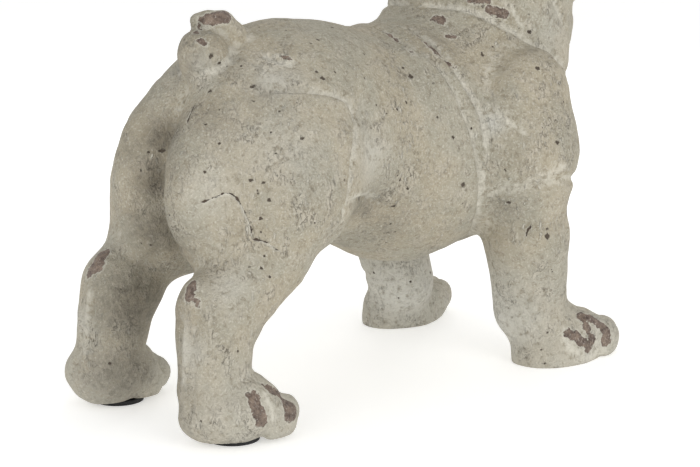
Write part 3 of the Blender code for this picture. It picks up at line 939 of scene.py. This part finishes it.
def cement_coat():
    """Thin cement slip brushed over a resin cast, washed pale in its folds and rubbed through to brown resin.

    The brush leaves short raised strokes and specks, air holes leave pits painted dark brown with painted
    shade in them, and the mottling runs from warm sand to grey. The eye sees a dry, chalky skin with small
    frayed windows of smoother, darker resin.
    """
    material, tree, shader = new_material("brushed_cement_slip_on_resin", 0.9, 1.5)
    place = add(tree, "TexCoord", output=3)
    washed = add(tree, "Attribute", output=2, attribute_name="wash")
    grimy_and_shaded = add(tree, "Attribute", output=2, attribute_name="grime_and_shade")
    paler_and_lit_cover = add(tree, "Attribute", output=2, attribute_name="paler_and_lit")
    height = add(tree, "Attribute", output=2, attribute_name="height")
    zones, cloudy, mottled, grainy = unevenness(tree, place)

    # Marks are bent by about 2 mm, so that no row of cells shows. Busy zones hold most of the brush's marks.
    bent = add(tree, "TexNoise", {"Vector": place, "Scale": 420, "Detail": 2}, output=1)
    bent = add(tree, "VectorMath", {0: bent, "Scale": 0.0022}, operation="SCALE")
    bent = add(tree, "VectorMath", {0: place, 1: bent}, operation="ADD")
    busy = add(tree, "TexNoise", {"Vector": place, "Scale": 38, "Detail": 2})
    busy = add(tree, "MapRange", {"Value": busy, "From Min": 0.42, "From Max": 0.58, "To Min": 0.35})
    strokes = add(tree, "Math", {0: brush_strokes(tree, bent), 1: busy}, operation="MULTIPLY")
    scratches = add(tree, "Math", {0: fine_scratches(tree, bent, cloudy), 1: busy}, operation="MULTIPLY")
    worked = add(tree, "Math", {0: mottled, 1: busy}, operation="MULTIPLY")
    holes = air_holes(tree, bent, mottled)
    crack, rim = open_cracks(tree, mottled)
    worn = worn_through(tree, place)
    bare = add(tree, "MapRange", {"Value": worn, "From Min": -0.1, "From Max": 0.25})

    shift = {"Value": zones, "From Min": 0.38, "From Max": 0.62}
    grey = add(tree, "MapRange", shift, interpolation_type="SMOOTHSTEP")
    cloud = add(tree, "MapRange", {"Value": cloudy, "From Min": 0.46, "From Max": 0.72, "To Max": 0.65})
    # Painted light: the coat is painted paler towards the floor and at the pale places, lifting the shaded
    # lower legs, besides the pale wash there.
    paler_and_lit_low_down = add(tree, "MapRange", {"Value": height, "From Min": 70, "From Max": 4, "To Max": 0.35})
    pale = add(tree, "Math", {0: paler_and_lit_low_down, 1: paler_and_lit_cover}, operation="MAXIMUM")
    freckle = add(tree, "MapRange", {"Value": mottled, "From Min": 0.5, "From Max": 0.3, "To Max": 0.7})
    chalk = add(tree, "MapRange", {"Value": grainy, "From Min": 0.52, "From Max": 0.72, "To Max": 0.6})
    flecked = {"Value": mottled, "From Min": 0.3, "From Max": 0.7, "To Min": -0.4, "To Max": 0.4}
    # Painted shade: the soiled places lie in creases, hollows and between the legs, and darken the coat as
    # shade would, together with real soiling.
    dirt_and_shade = add(tree, "Math", {0: grimy_and_shaded, 1: add(tree, "MapRange", flecked)}, operation="ADD")
    dirt_and_shade = add(tree, "MapRange", {"Value": dirt_and_shade, "From Min": 0.2, "From Max": 1.1, "To Max": 0.8})
    ragged = {"Value": mottled, "From Min": 0.3, "From Max": 0.7, "To Min": -0.45, "To Max": 0.45}
    wash = add(tree, "Math", {0: washed, 1: add(tree, "MapRange", ragged)}, operation="ADD")
    wash = add(tree, "MapRange", {"Value": wash, "From Min": 0.25, "From Max": 0.95, "To Max": 0.75})
    edge = add(tree, "MapRange", {"Value": worn, "From Min": -1.3, "From Max": -0.1, "To Max": 0.6})
    coat = layered(tree, linear("#a9a08c"), [
        (grey, "#a29d8d"),
        (cloud, "#c1b9a9"),
        (pale, "#ceccc3"),
        (freckle, "#807764"),
        (chalk, PALE_WASH),
        # Painted shade: the scratches are painted dark, as if shadowed in their grooves.
        (add(tree, "Math", {0: scratches, 1: 0.6}, operation="MULTIPLY"), SHADE_AND_GRIME),
        (add(tree, "Math", {0: strokes, 1: 0.75}, operation="MULTIPLY"), PALE_WASH),
        (dirt_and_shade, SHADE_AND_GRIME),
        (wash, PALE_WASH),
        # Painted shade: pits and open cracks are painted dark, for the shade inside them over the brown of the
        # resin.
        (holes, "#544a3f"),
        (add(tree, "Math", {0: rim, 1: 0.7}, operation="MULTIPLY"), PALE_WASH),
        (crack, "#55483d"),
        (edge, PALE_WASH),
    ])
    resin = brown_resin(tree, mottled, grainy)
    colour = add(tree, "Mix", {0: bare, 6: coat, 7: resin}, output=2, data_type="RGBA")
    tree.links.new(colour, shader.inputs["Base Color"])
    rough = add(tree, "MapRange", {"Value": bare, "To Min": 0.92, "To Max": 0.6})
    tree.links.new(rough, shader.inputs["Roughness"])

    # Heights are in millimetres, for a source's rise from 0 to 1.
    heights = (
        (cloudy, 2.4), (mottled, 1.2), (worked, 1.5), (grainy, 0.65), (strokes, 1.1), (scratches, -0.9),
        (holes, -1.2), (crack, -1.2), (rim, 0.6), (bare, -0.4),
    )
    relief = 0
    for source, height_mm in heights:
        relief = add(tree, "Math", {0: source, 1: height_mm, 2: relief}, operation="MULTIPLY_ADD")
    bump = add(tree, "Bump", {"Height": relief, "Strength": 1.0, "Distance": UNIT})
    tree.links.new(bump, shader.inputs["Normal"])
    return material


def foam_rubber():
    """Black foam rubber cut from a sheet: dull, with fine open pores that break up its edge.

    The pores are drawn 0.7 mm wide, coarser than real ones, so that they show.
    """
    material, tree, shader = new_material("die_cut_black_foam_rubber", 0.85, 1.5)
    place = add(tree, "TexCoord", output=3)
    pores = add(tree, "TexVoronoi", {"Vector": place, "Scale": 1400})
    shade = layered(tree, linear("#1a1a1b"), [(pores, "#2c2c2d")])
    tree.links.new(shade, shader.inputs["Base Color"])
    bump = add(tree, "Bump", {"Height": pores, "Strength": 1.0, "Distance": 0.3 * UNIT})
    tree.links.new(bump, shader.inputs["Normal"])
    return material


def lit_acrylic():
    """Opal acrylic of a light table: matt white, with an even glow that keeps the shadows on it faint.

    Its white shifts by a hair over about 300 mm.
    """
    material, tree, shader = new_material("opal_acrylic_light_table", 0.9, 1.49)
    place = add(tree, "TexCoord", output=3)
    cloud = add(tree, "TexNoise", {"Vector": place, "Scale": 3, "Detail": 1})
    shade = layered(tree, linear("#e9e9e8"), [(cloud, "#eeeeed")])
    tree.links.new(shade, shader.inputs["Base Color"])
    tree.links.new(shade, shader.inputs["Emission Color"])
    shader.inputs["Emission Strength"].default_value = 0.5
    return material


def bulldog():
    """The figure's skin: settled on its masses at a coarse and then a fine grain, carved and painted."""
    masses = all_masses()
    figure = bpy.data.objects.new("figure_skin", rough_body(masses))
    bpy.context.scene.collection.objects.link(figure)
    settle(remeshed(figure, COARSE_GRAIN), masses, rounds=4)
    mesh = remeshed(figure, FINE_GRAIN)
    settle(mesh, masses, rounds=3)
    smooth = points_of(mesh)
    carve(mesh, masses)
    paint(mesh, smooth, masses)
    stand_on_soles(mesh)
    mesh.shade_smooth()
    mesh.materials.append(cement_coat())
    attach(figure, "root")
    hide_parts("bulldog_figure")


def camera():
    """The photograph's view: from behind the dog's right side, a little above its back, with a long lens."""
    turn, rise = math.radians(VIEW_TURN), math.radians(VIEW_RISE)
    back = Vector((math.sin(turn) * math.cos(rise), -math.cos(turn) * math.cos(rise), math.sin(rise)))
    lens = bpy.data.cameras.new("camera")
    lens.sensor_width = SENSOR_MM
    lens.lens = LENS_MM
    eye = bpy.data.objects.new("camera", lens)
    eye.location = Vector(VIEW_AIM) * UNIT + back * VIEW_DISTANCE * UNIT
    eye.rotation_euler = back.to_track_quat("Z", "Y").to_euler()
    bpy.context.scene.collection.objects.link(eye)
    bpy.context.scene.camera = eye


def softbox(name, place, power):
    """A square soft light at a place in units, turned towards the figure's middle."""
    lamp = bpy.data.lights.new(name, "AREA")
    lamp.size = SOFTBOX_SIZE * UNIT
    lamp.energy = power
    box = bpy.data.objects.new(name, lamp)
    box.location = Vector(place) * UNIT
    towards = Vector(LIT_PLACE) * UNIT - box.location
    box.rotation_euler = towards.to_track_quat("-Z", "Y").to_euler()
    bpy.context.scene.collection.objects.link(box)


def studio():
    """A light table, a white room that is dimmer overhead, and three softboxes."""
    sheet = bmesh.new()
    bmesh.ops.create_grid(sheet, x_segments=1, y_segments=1, size=FLOOR_REACH)
    mesh = bpy.data.meshes.new("floor")
    sheet.to_mesh(mesh)
    sheet.free()
    mesh.materials.append(lit_acrylic())
    floor = bpy.data.objects.new("floor", mesh)
    bpy.context.scene.collection.objects.link(floor)
    world = bpy.data.worlds.new("studio")
    world.use_nodes = True
    tree = world.node_tree
    towards = add(tree, "TexCoord", output=0)
    upward = add(tree, "SeparateXYZ", {0: towards}, output=2)
    dimmer = {"Value": upward, "From Min": 0.1, "From Max": 0.9, "To Min": 1.0, "To Max": 0.55}
    tree.links.new(add(tree, "MapRange", dimmer), tree.nodes["Background"].inputs["Strength"])
    tree.nodes["Background"].inputs["Color"].default_value = (1, 1, 1, 1)
    bpy.context.scene.world = world
    softbox("left_softbox", (-300, 1500, 650), 4.5)
    softbox("right_softbox", (-1500, 100, 600), 7)
    softbox("far_softbox", (1000, -1200, 900), 5)


bulldog()
foam = foam_rubber()
for pad in ("foot_pad_left", "foot_pad_right"):
    bpy.data.objects[pad].material_slots[0].material = foam
camera()
studio()
bpy.context.scene.view_settings.view_transform = "Standard"
